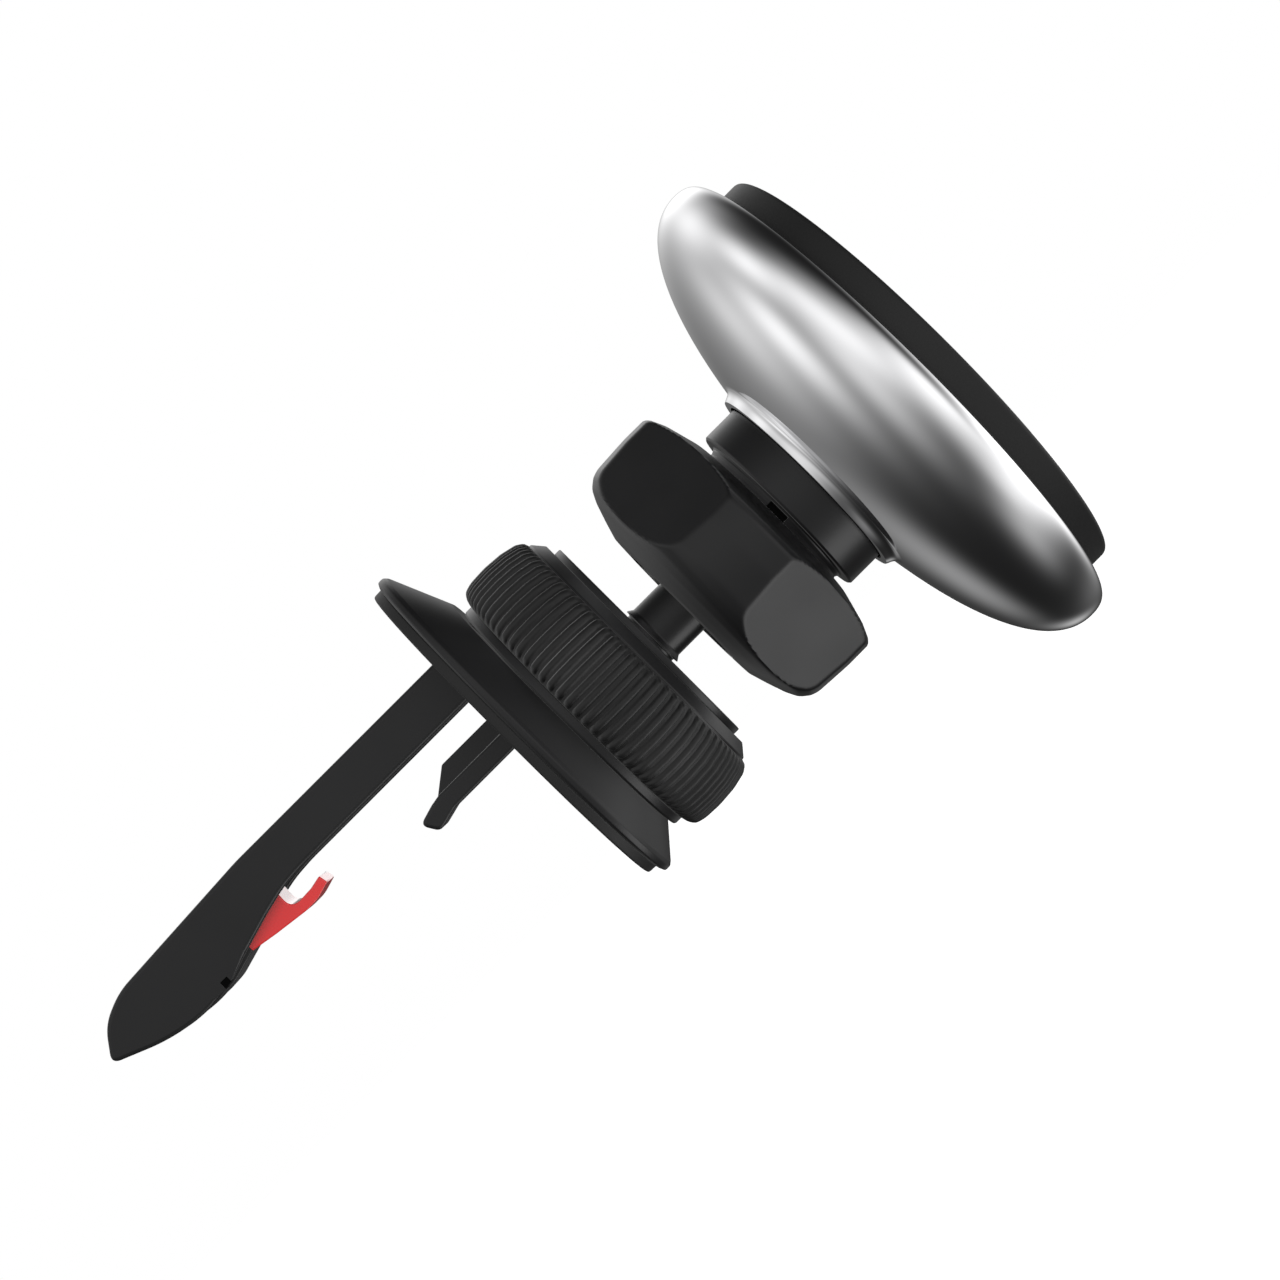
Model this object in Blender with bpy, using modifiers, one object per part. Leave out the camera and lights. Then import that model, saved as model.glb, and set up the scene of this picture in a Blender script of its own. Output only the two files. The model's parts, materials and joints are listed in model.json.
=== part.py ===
"""Car phone mount that hooks onto an air-vent slat and holds a phone on a magnetic disc.

The parts are drawn upright on a bench: the main axis is the bench Z axis, the
face that rests on the vent is at Z = 0 and the phone face is at the top.  An
empty, mount_axis, then lays the whole assembly down into its place in use:
bench Z points to world -Y (towards the driver) and bench Y to world +Z (up).
All sizes below are in millimetres and are turned to metres by MM.
"""

import math

import bmesh
import bpy
from mathutils import Matrix, Vector

MM = 0.001
GAP = 0.3                     # free space between pieces that touch in the real object
MERGE = 1e-6                  # merge distance in metres

# Main heights along the axis, measured from the vent face
PAD_TOP = 0.9
PLATE_BOTTOM, PLATE_TOP = 1.2, 5.45
HUB_BOTTOM, HUB_TOP = 5.75, 17.0
CAP_BOTTOM, CAP_TOP = 17.3, 17.8
BALL_Z = 31.5
NUT_BOTTOM, NUT_TOP = 22.7, 36.6
COLLAR_BOTTOM, COLLAR_TOP = 37.3, 41.5
SHELL_LIP = 41.6
SHELL_RIM = 55.75
FACE_Z = 58.9

# Main radii
FACE_R = 28.0
SHELL_R = 31.75
BALL_R = 7.0
STEM_R = 3.44
LINER_R = 7.9
BORE_R = 8.2                  # inside of the ball socket
COLLET_R = 9.7
COLLAR_R = 11.1
NUT_R = 17.1
NUT_FLAT = 15.2               # distance of the four grip flats from the axis
GRIP_R = 18.0
HUB_BORE_R = 13.5
FLANGE_R = 16.5

# Oval of the base plate, seen along the axis
OVAL_Y, OVAL_HALF_Y, OVAL_HALF_X, OVAL_POWER = 3.2, 22.0, 15.3, 2.2

# Hook arm: a black core between two cheeks
ARM_TOP = 0.9
ARM_LOW_Y, ARM_HIGH_Y = 9.1, 14.4
CHEEK_OUT, CHEEK_IN, CORE_HALF = 5.3, 3.7, 3.4
LINK_Y = (9.8, 11.6)          # the steel link that joins the arm to the carriage
CARRIAGE_Z = (6.3, 8.5)

# Support foot
FOOT_HALF_X, FOOT_Y = 4.0, (1.95, 6.2)

MAGNETS = 8


# ---------------------------------------------------------------- scene set-up

def clear_scene():
    for old in list(bpy.data.objects):
        bpy.data.objects.remove(old, do_unlink=True)


def new_collection(name):
    group = bpy.data.collections.new(name)
    bpy.context.scene.collection.children.link(group)
    return group


def make_material(name, colour, roughness, metallic=0.0):
    material = bpy.data.materials.new(name)
    material.use_nodes = True
    shader = material.node_tree.nodes["Principled BSDF"]
    shader.inputs["Base Color"].default_value = (*colour, 1.0)
    shader.inputs["Roughness"].default_value = roughness
    shader.inputs["Metallic"].default_value = metallic
    return material


clear_scene()
PARTS = new_collection("car_phone_mount")
CUTTERS = new_collection("cutters")

AXIS = bpy.data.objects.new("mount_axis", None)
AXIS.rotation_euler = (math.radians(90), 0, 0)
PARTS.objects.link(AXIS)

BLACK = make_material("black_plastic", (0.016, 0.016, 0.017), 0.42)
RUBBER = make_material("black_rubber", (0.020, 0.020, 0.020), 0.62)
CHROME = make_material("dark_chrome", (0.62, 0.62, 0.63), 0.12, 1.0)
STEEL = make_material("steel", (0.45, 0.45, 0.46), 0.30, 1.0)
BRASS = make_material("brass", (0.55, 0.38, 0.16), 0.35, 1.0)
NYLON = make_material("white_nylon", (0.70, 0.69, 0.65), 0.50)
RED = make_material("red_plastic", (0.58, 0.020, 0.022), 0.30)
NICKEL = make_material("nickel_plate", (0.60, 0.58, 0.54), 0.25, 1.0)


# ---------------------------------------------------------------- shape helpers

def add_object(name, data, material=None):
    """Link a new object under the main axis; without a material it is a cutter."""
    obj = bpy.data.objects.new(name, data)
    obj.parent = AXIS
    if material is None:
        CUTTERS.objects.link(obj)
        obj.hide_render = True
        obj.display_type = "WIRE"
    else:
        PARTS.objects.link(obj)
        data.materials.append(material)
    return obj


def ring_profile(*points):
    """A closed profile: down the outer side and up the inner side."""
    return list(points), True


def solid_profile(*points):
    """An open profile that starts and ends on the axis."""
    return list(points), False


def turned(name, profile, material=None, steps=32):
    """Turn a profile of (radius, height) points about the axis."""
    points, closed = profile
    edges = [(i, i + 1) for i in range(len(points) - 1)]
    if closed:
        edges.append((len(points) - 1, 0))
    mesh = bpy.data.meshes.new(name)
    mesh.from_pydata([(r * MM, 0, z * MM) for r, z in points], edges, [])
    obj = add_object(name, mesh, material)
    screw = obj.modifiers.new("Turn", "SCREW")
    screw.axis = "Z"
    screw.angle = 2 * math.pi
    screw.steps = steps
    screw.render_steps = steps
    screw.use_merge_vertices = True
    screw.merge_threshold = MERGE
    screw.use_smooth_shade = True
    return obj


def box(name, x_range, y_range, z_range, material=None, turn=0.0):
    """A block between two corners, then turned about the main axis."""
    mesh = bpy.data.meshes.new(name)
    work = bmesh.new()
    bmesh.ops.create_cube(work, size=1)
    ranges = (x_range, y_range, z_range)
    size = Vector([(high - low) * MM for low, high in ranges])
    centre = Vector([(high + low) / 2 * MM for low, high in ranges])
    place = Matrix.Rotation(turn, 4, "Z") @ Matrix.Translation(centre) @ Matrix.Diagonal((*size, 1))
    work.transform(place)
    work.to_mesh(mesh)
    work.free()
    return add_object(name, mesh, material)


def rod(name, radius, start, end, material=None, sides=16):
    """A plain round rod between two points."""
    start, end = Vector(start) * MM, Vector(end) * MM
    along = end - start
    mesh = bpy.data.meshes.new(name)
    work = bmesh.new()
    bmesh.ops.create_cone(work, cap_ends=True, segments=sides, radius1=radius * MM,
                          radius2=radius * MM, depth=along.length)
    turn = along.to_track_quat("Z", "Y").to_matrix().to_4x4()
    work.transform(Matrix.Translation((start + end) / 2) @ turn)
    work.to_mesh(mesh)
    work.free()
    return add_object(name, mesh, material)


def cut(target, *cutters):
    for tool in cutters:
        change = target.modifiers.new(tool.name, "BOOLEAN")
        change.operation = "DIFFERENCE"
        change.solver = "EXACT"
        change.object = tool


def unite(target, *tools):
    for tool in tools:
        change = target.modifiers.new(tool.name, "BOOLEAN")
        change.operation = "UNION"
        change.solver = "EXACT"
        change.object = tool


def arc(centre, radius, start, end, steps):
    """Points on a circle between two angles in degrees."""
    points = []
    for i in range(steps + 1):
        angle = math.radians(start + (end - start) * i / steps)
        points.append((centre[0] + radius * math.cos(angle), centre[1] + radius * math.sin(angle)))
    return points


def polar_arc(radius, start, end, steps):
    """Points (radius, height) on the ball's sphere between two angles from its top."""
    return arc((0, BALL_Z), radius, 90 - start, 90 - end, steps)


def rounded(corners, steps=5):
    """An outline through corners given as (u, v, fillet radius)."""
    points = []
    for i, (u, v, radius) in enumerate(corners):
        here = Vector((u, v))
        before = Vector(corners[i - 1][:2]) - here
        after = Vector(corners[(i + 1) % len(corners)][:2]) - here
        if radius == 0:
            points.append(here)
            continue
        half = before.angle(after) / 2
        reach = radius / math.tan(half)
        centre = here + (before.normalized() + after.normalized()).normalized() * radius / math.sin(half)
        first = here + before.normalized() * reach - centre
        last = here + after.normalized() * reach - centre
        sweep = first.angle_signed(last)
        for k in range(steps + 1):
            spoke = Matrix.Rotation(-sweep * k / steps, 2) @ first
            points.append(centre + spoke)
    return points


def flat_piece(name, outline, width, material=None, offset=0.0, face="side"):
    """An outline cut from flat stock.

    face "side": the outline is (y, z) and the stock is `width` thick along x.
    face "front": the outline is (x, z) and the stock is `width` thick along y.
    """
    curve = bpy.data.curves.new(name, "CURVE")
    curve.dimensions = "2D"
    curve.fill_mode = "BOTH"
    curve.extrude = width / 2 * MM
    spline = curve.splines.new("POLY")
    spline.points.add(len(outline) - 1)
    for point, (u, v) in zip(spline.points, outline):
        point.co = (u * MM, v * MM, 0, 1)
    spline.use_cyclic_u = True
    blank = add_object(name + "_blank", curve)
    if face == "side":
        blank.rotation_euler = (math.radians(90), 0, math.radians(90))
        blank.location = (offset * MM, 0, 0)
    else:
        blank.rotation_euler = (math.radians(90), 0, 0)
        blank.location = (0, offset * MM, 0)
    bpy.context.view_layer.update()
    mesh = bpy.data.meshes.new_from_object(blank.evaluated_get(bpy.context.evaluated_depsgraph_get()))
    mesh.name = name
    mesh.transform(blank.matrix_basis)
    bpy.data.objects.remove(blank)
    work = bmesh.new()
    work.from_mesh(mesh)
    bmesh.ops.remove_doubles(work, verts=work.verts, dist=MERGE)
    bmesh.ops.recalc_face_normals(work, faces=work.faces)
    work.to_mesh(mesh)
    work.free()
    mesh.materials.clear()
    return add_object(name, mesh, material)


def oval(centre_y, half_x, half_y, z, count=40):
    """A superellipse across the axis at height z."""
    power = 2 / OVAL_POWER
    points = []
    for i in range(count):
        angle = 2 * math.pi * i / count
        c, s = math.cos(angle), math.sin(angle)
        x = half_x * math.copysign(abs(c) ** power, c)
        y = centre_y + half_y * math.copysign(abs(s) ** power, s)
        points.append(Vector((x, y, z)) * MM)
    return points


def loft(name, sections, material=None):
    """A closed skin over sections listed from bottom to top."""
    mesh = bpy.data.meshes.new(name)
    work = bmesh.new()
    rings = [[work.verts.new(point) for point in section] for section in sections]
    for low, high in zip(rings, rings[1:]):
        for i in range(len(low)):
            j = (i + 1) % len(low)
            work.faces.new((low[i], low[j], high[j], high[i]))
    work.faces.new(reversed(rings[0]))
    work.faces.new(rings[-1])
    work.to_mesh(mesh)
    work.free()
    return add_object(name, mesh, material)


def screw_set(name, places, head, shank_r, head_z, tip_z, material):
    """Identical cap screws along the axis, one object each; head_z is the free face of the head."""
    head_r, head_h = head
    seat_z = head_z + math.copysign(head_h, tip_z - head_z)
    profile = [(0, head_z), (head_r, head_z), (head_r, seat_z), (shank_r, seat_z),
               (shank_r, tip_z), (0, tip_z)]
    if tip_z > head_z:
        profile.reverse()
    for i, (x, y) in enumerate(places):
        screw = turned(f"{name}_{i + 1}", solid_profile(*profile), material, 12)
        screw.location = (x * MM, y * MM, 0)


# ---------------------------------------------------------------- base and foot

SCREW_CIRCLE = [(5.2 * math.cos(math.radians(a)), 5.2 * math.sin(math.radians(a)))
                for a in (-90, -30, -150)]
FOOT_SCREWS = [(-5.7, 4.1), (5.7, 4.1)]


def arm_window(name, z_range):
    return box(name, (-CHEEK_OUT - 0.4, CHEEK_OUT + 0.4),
               (ARM_LOW_Y - 0.4, ARM_HIGH_Y + 0.4), z_range)


def build_vent_pad():
    """Soft pad that bears on the vent, with windows for the arm and the foot."""
    pad = loft("vent_pad", [
        oval(OVAL_Y, 14.7, 20.8, 0.0),
        oval(OVAL_Y, 14.9, 21.0, 0.25),
        oval(OVAL_Y, 14.9, 21.0, PAD_TOP)], RUBBER)
    foot = box("pad_foot_window", (-FOOT_HALF_X - 0.4, FOOT_HALF_X + 0.4),
               (FOOT_Y[0] - 0.4, FOOT_Y[1] + 0.4), (-1, 2))
    cut(pad, arm_window("pad_arm_window", (-1, 2)), foot)


def build_base_plate():
    """Oval plate with sloping sides that carries the post, the dial and the foot."""
    plate = loft("base_plate", [
        oval(OVAL_Y, OVAL_HALF_X - 0.7, OVAL_HALF_Y - 0.7, PLATE_BOTTOM),
        oval(OVAL_Y, OVAL_HALF_X, OVAL_HALF_Y, 1.5),
        oval(OVAL_Y, OVAL_HALF_X, OVAL_HALF_Y, 2.2),
        oval(OVAL_Y, OVAL_HALF_X - 0.3, OVAL_HALF_Y - 0.4, 2.6),
        oval(1.35, 13.5, 16.65, PLATE_TOP)], BLACK)
    flange_pocket = box("foot_flange_pocket", (-7.6, 7.6), (1.45, 6.7), (0, 3.2))
    stud_seat = rod("stud_seat", 7.2, (0, 0, 4.2), (0, 0, 8), sides=32)
    cut(plate, arm_window("plate_arm_window", (0, 8)), flange_pocket, stud_seat)
    for i, (x, y) in enumerate(SCREW_CIRCLE):
        bore = rod(f"stud_screw_bore_{i}", 0.95, (x, y, 0), (x, y, 6), sides=12)
        sink = rod(f"stud_screw_sink_{i}", 1.7, (x, y, 0), (x, y, 2.8), sides=12)
        cut(plate, bore, sink)
    for i, (x, y) in enumerate(FOOT_SCREWS):
        cut(plate, rod(f"foot_screw_bore_{i}", 0.85, (x, y, 2), (x, y, 4.6), sides=12))
    screw_set("stud_screw", SCREW_CIRCLE, (1.4, 1.0), 0.65, 1.3, 5.3, STEEL)


def build_support_foot():
    """Short foot that braces the slat from below: flange, bar, web and bent toe."""
    low, high = FOOT_Y
    seam = 4.15
    bar = rounded([(low, 2.0, 0), (low, -9.6, 1.5), (1.25, -12.4, 0.9), (3.2, -13.6, 0.7),
                   (3.9, -11.2, 1.0), (seam, -9.8, 0), (seam, 2.0, 0)], 4)
    web = [(seam - 0.6, 2.0), (seam - 0.6, -10.3), (seam, -10.0), (high, -7.4), (high, 2.0)]
    foot = flat_piece("support_foot", bar, 2 * FOOT_HALF_X, BLACK)
    rib = flat_piece("foot_web", web, 2 * FOOT_HALF_X - 1.2)
    flange = box("foot_flange", (-7.2, 7.2), (low - 0.2, high + 0.2), (1.25, 2.9))
    unite(foot, rib, flange)
    for i, (x, y) in enumerate(FOOT_SCREWS):
        sink = rod(f"flange_sink_{i}", 1.3, (x, y, 0.5), (x, y, 2.2), sides=12)
        bore = rod(f"flange_bore_{i}", 0.85, (x, y, 0.5), (x, y, 4), sides=12)
        cut(foot, sink, bore)
    screw_set("foot_screw", FOOT_SCREWS, (1.0, 0.6), 0.55, 1.3, 4.3, STEEL)


def build_ball_stud():
    """Ball, stem, post and foot flange, turned in one piece."""
    neck = 180 - math.degrees(math.asin(STEM_R / BALL_R))
    turned("ball_stud", solid_profile(
        *polar_arc(BALL_R, 0, neck, 8),
        (STEM_R, 18.8), (3.9, 18.15), (3.35, 18.1), (3.35, 5.8), (6.9, 5.8), (6.9, 4.5),
        (0, 4.5)), BLACK, 20)
    stud = bpy.data.objects["ball_stud"]
    for i, (x, y) in enumerate(SCREW_CIRCLE):
        cut(stud, rod(f"stud_tap_{i}", 0.95, (x, y, 4), (x, y, 5.6), sides=12))


def build_top_cap():
    turned("top_cap", ring_profile(
        (3.7, CAP_TOP), (13.4, CAP_TOP), (13.7, CAP_TOP - 0.2), (13.7, CAP_BOTTOM),
        (3.7, CAP_BOTTOM)), BLACK)
    turned("thrust_washer", ring_profile(
        (5.6, CAP_BOTTOM - GAP), (11.8, CAP_BOTTOM - GAP), (11.8, 16.6), (5.6, 16.6)), NYLON, 24)


# ---------------------------------------------------------------- dial

def build_dial():
    """Threaded hub, its running bush and the grip sleeve pressed over it."""
    turned("dial_hub", ring_profile(
        (12.1, HUB_TOP), (15.15, HUB_TOP), (16.6, 15.85), (15.0, 15.8), (15.0, 6.5), (16.05, 6.4),
        (16.05, 5.9), (15.9, HUB_BOTTOM), (HUB_BORE_R, HUB_BOTTOM), (HUB_BORE_R, 14.9), (5.2, 14.9),
        (5.2, 16.3), (12.1, 16.3)), BLACK)
    turned("dial_bush", ring_profile((3.65, 16.2), (4.9, 16.2), (4.9, 15.0), (3.65, 15.0)), BRASS, 24)
    inner = 15.0 + GAP
    turned("grip_sleeve", ring_profile(
        (inner, 15.5), (16.6, 15.5), (17.35, 14.6), (17.8, 12.9), (GRIP_R, 10.6), (17.9, 8.6),
        (17.4, 7.3), (16.4, 6.8), (inner, 6.8)), RUBBER, 32)


# ---------------------------------------------------------------- hook arm

def cheek_outline():
    """Side view (y, z) of a cheek, from the top of its back edge round the nose."""
    return rounded([
        (ARM_HIGH_Y, ARM_TOP, 0), (ARM_HIGH_Y, -30.0, 30), (13.5, -50.6, 4.5), (9.1, -54.9, 0.9),
        (5.3, -44.8, 14), (5.55, -40.4, 0), (6.15, -39.9, 0), (6.7, -40.1, 0), (6.9, -39.4, 0),
        (6.3, -39.0, 0), (8.15, -32.8, 14), (ARM_LOW_Y, -21.0, 20), (ARM_LOW_Y, ARM_TOP, 0)])


def build_cheeks(bores):
    """The two outer layers of the arm, mirror images about x = 0."""
    width = CHEEK_OUT - CHEEK_IN
    for name, side in (("front_cheek", -1), ("rear_cheek", 1)):
        cheek = flat_piece(name, cheek_outline(), width, BLACK, side * (CHEEK_OUT + CHEEK_IN) / 2)
        cut(cheek, *bores)


def build_arm_core(bores):
    """Middle layer of the arm: the spine, the hook's seat and the nose."""
    inset = 0.3
    low, high = ARM_LOW_Y + inset, ARM_HIGH_Y - inset
    outline = rounded([
        (high, ARM_TOP - 0.3, 0), (high, -30.0, 30), (13.3, -50.5, 4.5), (9.1, -54.6, 0.9),
        (5.4, -44.8, 14), (5.6, -40.0, 3), (6.65, -36.4, 0), (11.2, -36.4, 0), (11.2, -29.1, 0),
        (low, -29.1, 0), (low, ARM_TOP - 0.3, 0)])
    core = flat_piece("arm_core", outline, 2 * CORE_HALF, BLACK)
    slot = box("link_slot", (-2.3, 2.3), (LINK_Y[0] - GAP, LINK_Y[1] + GAP), (-11.3, 2))
    cut(core, slot, *bores)


def build_hook(bores):
    """Red hook that catches the slat: root in the core, round seat and rising prong."""
    outline = rounded([
        (10.9, -29.4, 0), (6.75, -29.35, 1.2), (7.15, -24.7, 0.25), (6.1, -24.7, 0.25),
        (5.3, -28.6, 6), (6.5, -35.9, 0.4), (10.9, -36.1, 0)], 5)
    hook = flat_piece("hook", outline, 7.0, RED)
    cut(hook, *bores)


def build_pull_link():
    """Steel tee that hangs from the carriage; the core is moulded round its notched tail."""
    top = CARRIAGE_Z[1]
    left = [(-4.6, top + 1.4), (-4.6, top + GAP), (-3.0, top + GAP), (-3.0, 1.2), (-2.0, 0.4),
            (-2.0, -4.5), (-1.4, -5.0), (-1.4, -7.0), (-2.0, -7.5), (-2.0, -11.0)]
    right = [(-x, z) for x, z in reversed(left)]
    flat_piece("pull_link", left + right, LINK_Y[1] - LINK_Y[0], STEEL, sum(LINK_Y) / 2, "front")


def build_carriage():
    """Threaded disc that climbs inside the hub as the dial turns."""
    low, high = CARRIAGE_Z
    disc = turned("thread_carriage", ring_profile(
        (4.5, high), (13.0, high), (13.2, high - 0.3), (13.2, low + 0.3), (13.0, low),
        (4.5, low)), NYLON)
    cut(disc, box("link_window", (-3.35, 3.35), (LINK_Y[0] - GAP, LINK_Y[1] + GAP),
                  (low - 1, high + 1)))


def build_arm():
    """All pieces that slide with the arm, and the pins that cross it."""
    reach = CHEEK_IN + 0.8
    pins = {"hook_pin": [(9.8, -33.0)],
            "cheek_dowel": [(11.8, -17.0), (12.3, -40.5), (9.6, -49.0)]}
    bores = {}
    for name, places in pins.items():
        bores[name] = []
        for i, (y, z) in enumerate(places):
            ends = (-reach - GAP, y, z), (reach + GAP, y, z)
            bores[name].append(rod(f"{name}_bore_{i}", 0.9 + GAP, *ends, sides=12))
    build_cheeks(bores["hook_pin"] + bores["cheek_dowel"])
    build_arm_core(bores["cheek_dowel"])
    build_hook(bores["hook_pin"])
    build_pull_link()
    build_carriage()
    for name, places in pins.items():
        for i, (y, z) in enumerate(places):
            label = name if len(places) == 1 else f"{name}_{i + 1}"
            rod(label, 0.9, (-reach, y, z), (reach, y, z), STEEL, 12)


# ---------------------------------------------------------------- ball joint and lock nut

def build_ball_liner():
    turned("ball_liner", ring_profile(
        *polar_arc(LINER_R, 18, 133, 6), *polar_arc(LINER_R - 0.6, 133, 18, 6)), NYLON, 20)


def build_thrust_cup():
    """Cup over the liner, with the spring washer that presses on it."""
    edge, hole = 7.1, 2.5
    start = math.degrees(math.asin(edge / BORE_R))
    end = math.degrees(math.asin(hole / BORE_R))
    turned("thrust_cup", ring_profile(
        (hole, 42.0), (LINER_R, 42.0), (LINER_R, 35.9), *polar_arc(BORE_R, start, end, 4)), NYLON, 24)
    turned("cup_spring", ring_profile(
        (3.2, 43.2), (7.6, 42.7), (7.6, 42.3), (3.2, 42.8)), STEEL, 24)


def build_collet():
    """Socket with four slotted fingers, a collar and the flange inside the shell."""
    mouth = 128
    collet = turned("socket_collet", ring_profile(
        (2.0, 46.6), (FLANGE_R, 46.6), (FLANGE_R, 45.2), (11.0, 45.2), (11.0, COLLAR_TOP + 0.1),
        (COLLAR_R, COLLAR_TOP - 0.1), (COLLAR_R, COLLAR_BOTTOM + 0.3),
        (COLLAR_R - 0.3, COLLAR_BOTTOM), (COLLET_R, COLLAR_BOTTOM), (COLLET_R, 28.0), (8.9, 26.5),
        *polar_arc(BORE_R, mouth, 90, 4), (BORE_R, 43.6), (2.0, 43.6)), BLACK)
    half = 1.25
    cut(collet, box("finger_slot_x", (-12, 12), (-half, half), (25, 37.0)),
        box("finger_slot_y", (-half, half), (-12, 12), (25, 37.0)))
    for i, (x, y) in enumerate(TRAY_SCREWS):
        cut(collet, rod(f"flange_tap_{i}", 1.2, (x, y, 45), (x, y, 47), sides=12))


def build_lock_nut():
    """Barrel nut with four grip flats and the ring that closes the fingers."""
    bore = COLLET_R + GAP
    nut = turned("lock_nut", ring_profile(
        (bore, NUT_TOP), (NUT_R, 34.3), (NUT_R + 0.05, 31.0), (16.9, 26.7), (16.6, 25.8),
        (15.8, 24.8), (14.4, 24.1), (12.3, 23.4), (10.3, NUT_BOTTOM + 0.1), (7.9, NUT_BOTTOM),
        (7.9, 24.3), (bore, 24.3)), BLACK, 32)
    for i in range(4):
        cut(nut, box(f"nut_flat_{i}", (NUT_FLAT, NUT_FLAT + 8), (-14, 14), (20, 40),
                     turn=math.radians(45 + 90 * i)))
    turned("pressure_ring", ring_profile(
        (8.6, 26.15), (9.6, 26.15), (9.6, 24.6), (7.9, 24.6), (7.9, 25.3)), BRASS, 24)


# ---------------------------------------------------------------- magnetic head

TRAY_SCREWS = [(12.0 * math.cos(math.radians(a)), 12.0 * math.sin(math.radians(a)))
               for a in (45, 135, 225, 315)]


def build_rear_shell():
    """Polished bowl: neck lip, dome, rolled rim and the open front."""
    turned("rear_shell", ring_profile(
        (FACE_R + GAP, SHELL_RIM), (30.2, 55.5), (31.1, 54.8), (31.55, 53.95), (SHELL_R, 53.0),
        (31.66, 51.9), (30.9, 50.0), (29.5, 48.5), (27.8, 47.3), (26.0, 46.35), (24.0, 45.45),
        (22.1, 44.8), (18.5, 43.8), (13.2, 42.8), (12.4, SHELL_LIP),
        (COLLAR_R + GAP, SHELL_LIP), (COLLAR_R + GAP, 44.1), (18.4, 44.9), (24.0, 46.7),
        (28.0, 48.9), (30.2, 51.3), (30.4, 53.4), (FACE_R + GAP, 54.5)), CHROME, 40)


def build_magnet_tray():
    """Moulded tray screwed to the flange; it carries the yoke and the magnets."""
    tray = turned("magnet_tray", ring_profile(
        (27.4, 55.0), (27.9, 55.0), (27.9, 50.8), (FLANGE_R, 50.8), (FLANGE_R, 46.9), (6.0, 46.9),
        (6.0, 48.6), (14.8, 48.6), (14.8, 52.2), (27.4, 52.2)), BLACK)
    for i, (x, y) in enumerate(TRAY_SCREWS):
        cut(tray, rod(f"tray_bore_{i}", 1.2, (x, y, 46), (x, y, 50), sides=12))
    screw_set("tray_screw", TRAY_SCREWS, (1.9, 1.3), 0.9, 50.2, 45.5, STEEL)
    turned("steel_yoke", ring_profile(
        (19.5, 53.3), (27.1, 53.3), (27.1, 52.5), (19.5, 52.5)), STEEL)


def build_magnets():
    """A ring of equal magnet segments with small gaps between them."""
    pitch = 2 * math.pi / MAGNETS
    half = pitch / 2 - math.radians(1.4)
    inner, outer, low, high = 20.0, 26.8, 53.6, 55.0
    for i in range(MAGNETS):
        angles = [i * pitch - half + 2 * half * k / 5 for k in range(6)]
        rim = [Vector((math.cos(a), math.sin(a), 0)) for a in angles]
        outline = [v * outer for v in rim] + [v * inner for v in reversed(rim)]
        sections = [[(v + Vector((0, 0, z))) * MM for v in outline] for z in (low, high)]
        loft(f"magnet_{i + 1}", sections, NICKEL)


def build_face_pad():
    """Soft disc that the phone rests on."""
    turned("face_pad", solid_profile(
        (0, FACE_Z), (FACE_R - 0.25, FACE_Z), (FACE_R, FACE_Z - 0.25), (FACE_R, 55.3), (0, 55.3)),
        RUBBER, 40)


build_vent_pad()
build_base_plate()
build_support_foot()
build_ball_stud()
build_top_cap()
build_dial()
build_arm()
build_ball_liner()
build_thrust_cup()
build_collet()
build_lock_nut()
build_rear_shell()
build_magnet_tray()
build_magnets()
build_face_pad()
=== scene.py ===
"""Looks of a vent-clip phone mount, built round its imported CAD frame.

Sizes are millimetres on the mount's own axes: x across the hook arm, y up in
use, and a along the main axis from the vent face towards the phone. `place`
turns them into the frame's metres, where X = x, Y = -a and Z = y.
"""

import json
import logging
import math
from dataclasses import dataclass, field
from enum import Enum
from typing import Callable, Optional, Sequence

import bmesh
import bpy
import numpy as np
from mathutils import Euler, Matrix, Vector

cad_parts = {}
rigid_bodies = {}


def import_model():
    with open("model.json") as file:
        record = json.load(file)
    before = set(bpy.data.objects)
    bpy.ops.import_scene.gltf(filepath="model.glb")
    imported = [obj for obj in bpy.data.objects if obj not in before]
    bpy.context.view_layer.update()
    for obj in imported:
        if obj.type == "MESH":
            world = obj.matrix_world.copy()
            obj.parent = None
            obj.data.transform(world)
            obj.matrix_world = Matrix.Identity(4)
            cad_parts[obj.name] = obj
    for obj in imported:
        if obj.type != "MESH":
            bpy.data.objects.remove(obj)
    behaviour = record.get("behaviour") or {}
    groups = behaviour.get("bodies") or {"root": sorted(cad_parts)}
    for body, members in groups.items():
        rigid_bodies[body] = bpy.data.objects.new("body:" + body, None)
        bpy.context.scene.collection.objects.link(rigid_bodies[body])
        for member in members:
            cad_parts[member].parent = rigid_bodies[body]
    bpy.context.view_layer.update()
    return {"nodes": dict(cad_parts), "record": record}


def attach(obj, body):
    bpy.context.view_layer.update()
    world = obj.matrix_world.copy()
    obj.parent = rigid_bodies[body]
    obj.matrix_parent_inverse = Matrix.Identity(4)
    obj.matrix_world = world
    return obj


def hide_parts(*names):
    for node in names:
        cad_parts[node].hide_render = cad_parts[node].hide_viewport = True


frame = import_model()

log = logging.getLogger("phone_mount")

MM = 0.001
FULL_TURN = 2.0 * math.pi
BALL_CENTRE = 31.5
CREASE = math.radians(32.0)
MERGE_DISTANCE = 1e-7
SHORTEST_STEP = 1e-6
MOST_OF_A_LEG = 0.49
STEEPEST_HALF_TURN = 1.5
LEAST_MITRE_SPREAD = 0.35
CRISP_REACH = 0.85
LEAST_SHARE = 0.05
COAT_ROUGHNESS = 0.03
BUMP_DEPTH = 0.00005
LAMP_TARGET = (0.0, -0.02, 0.0)

Corner = tuple[float, ...]
Shape = Callable[[np.ndarray, np.ndarray, np.ndarray], np.ndarray]


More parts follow.
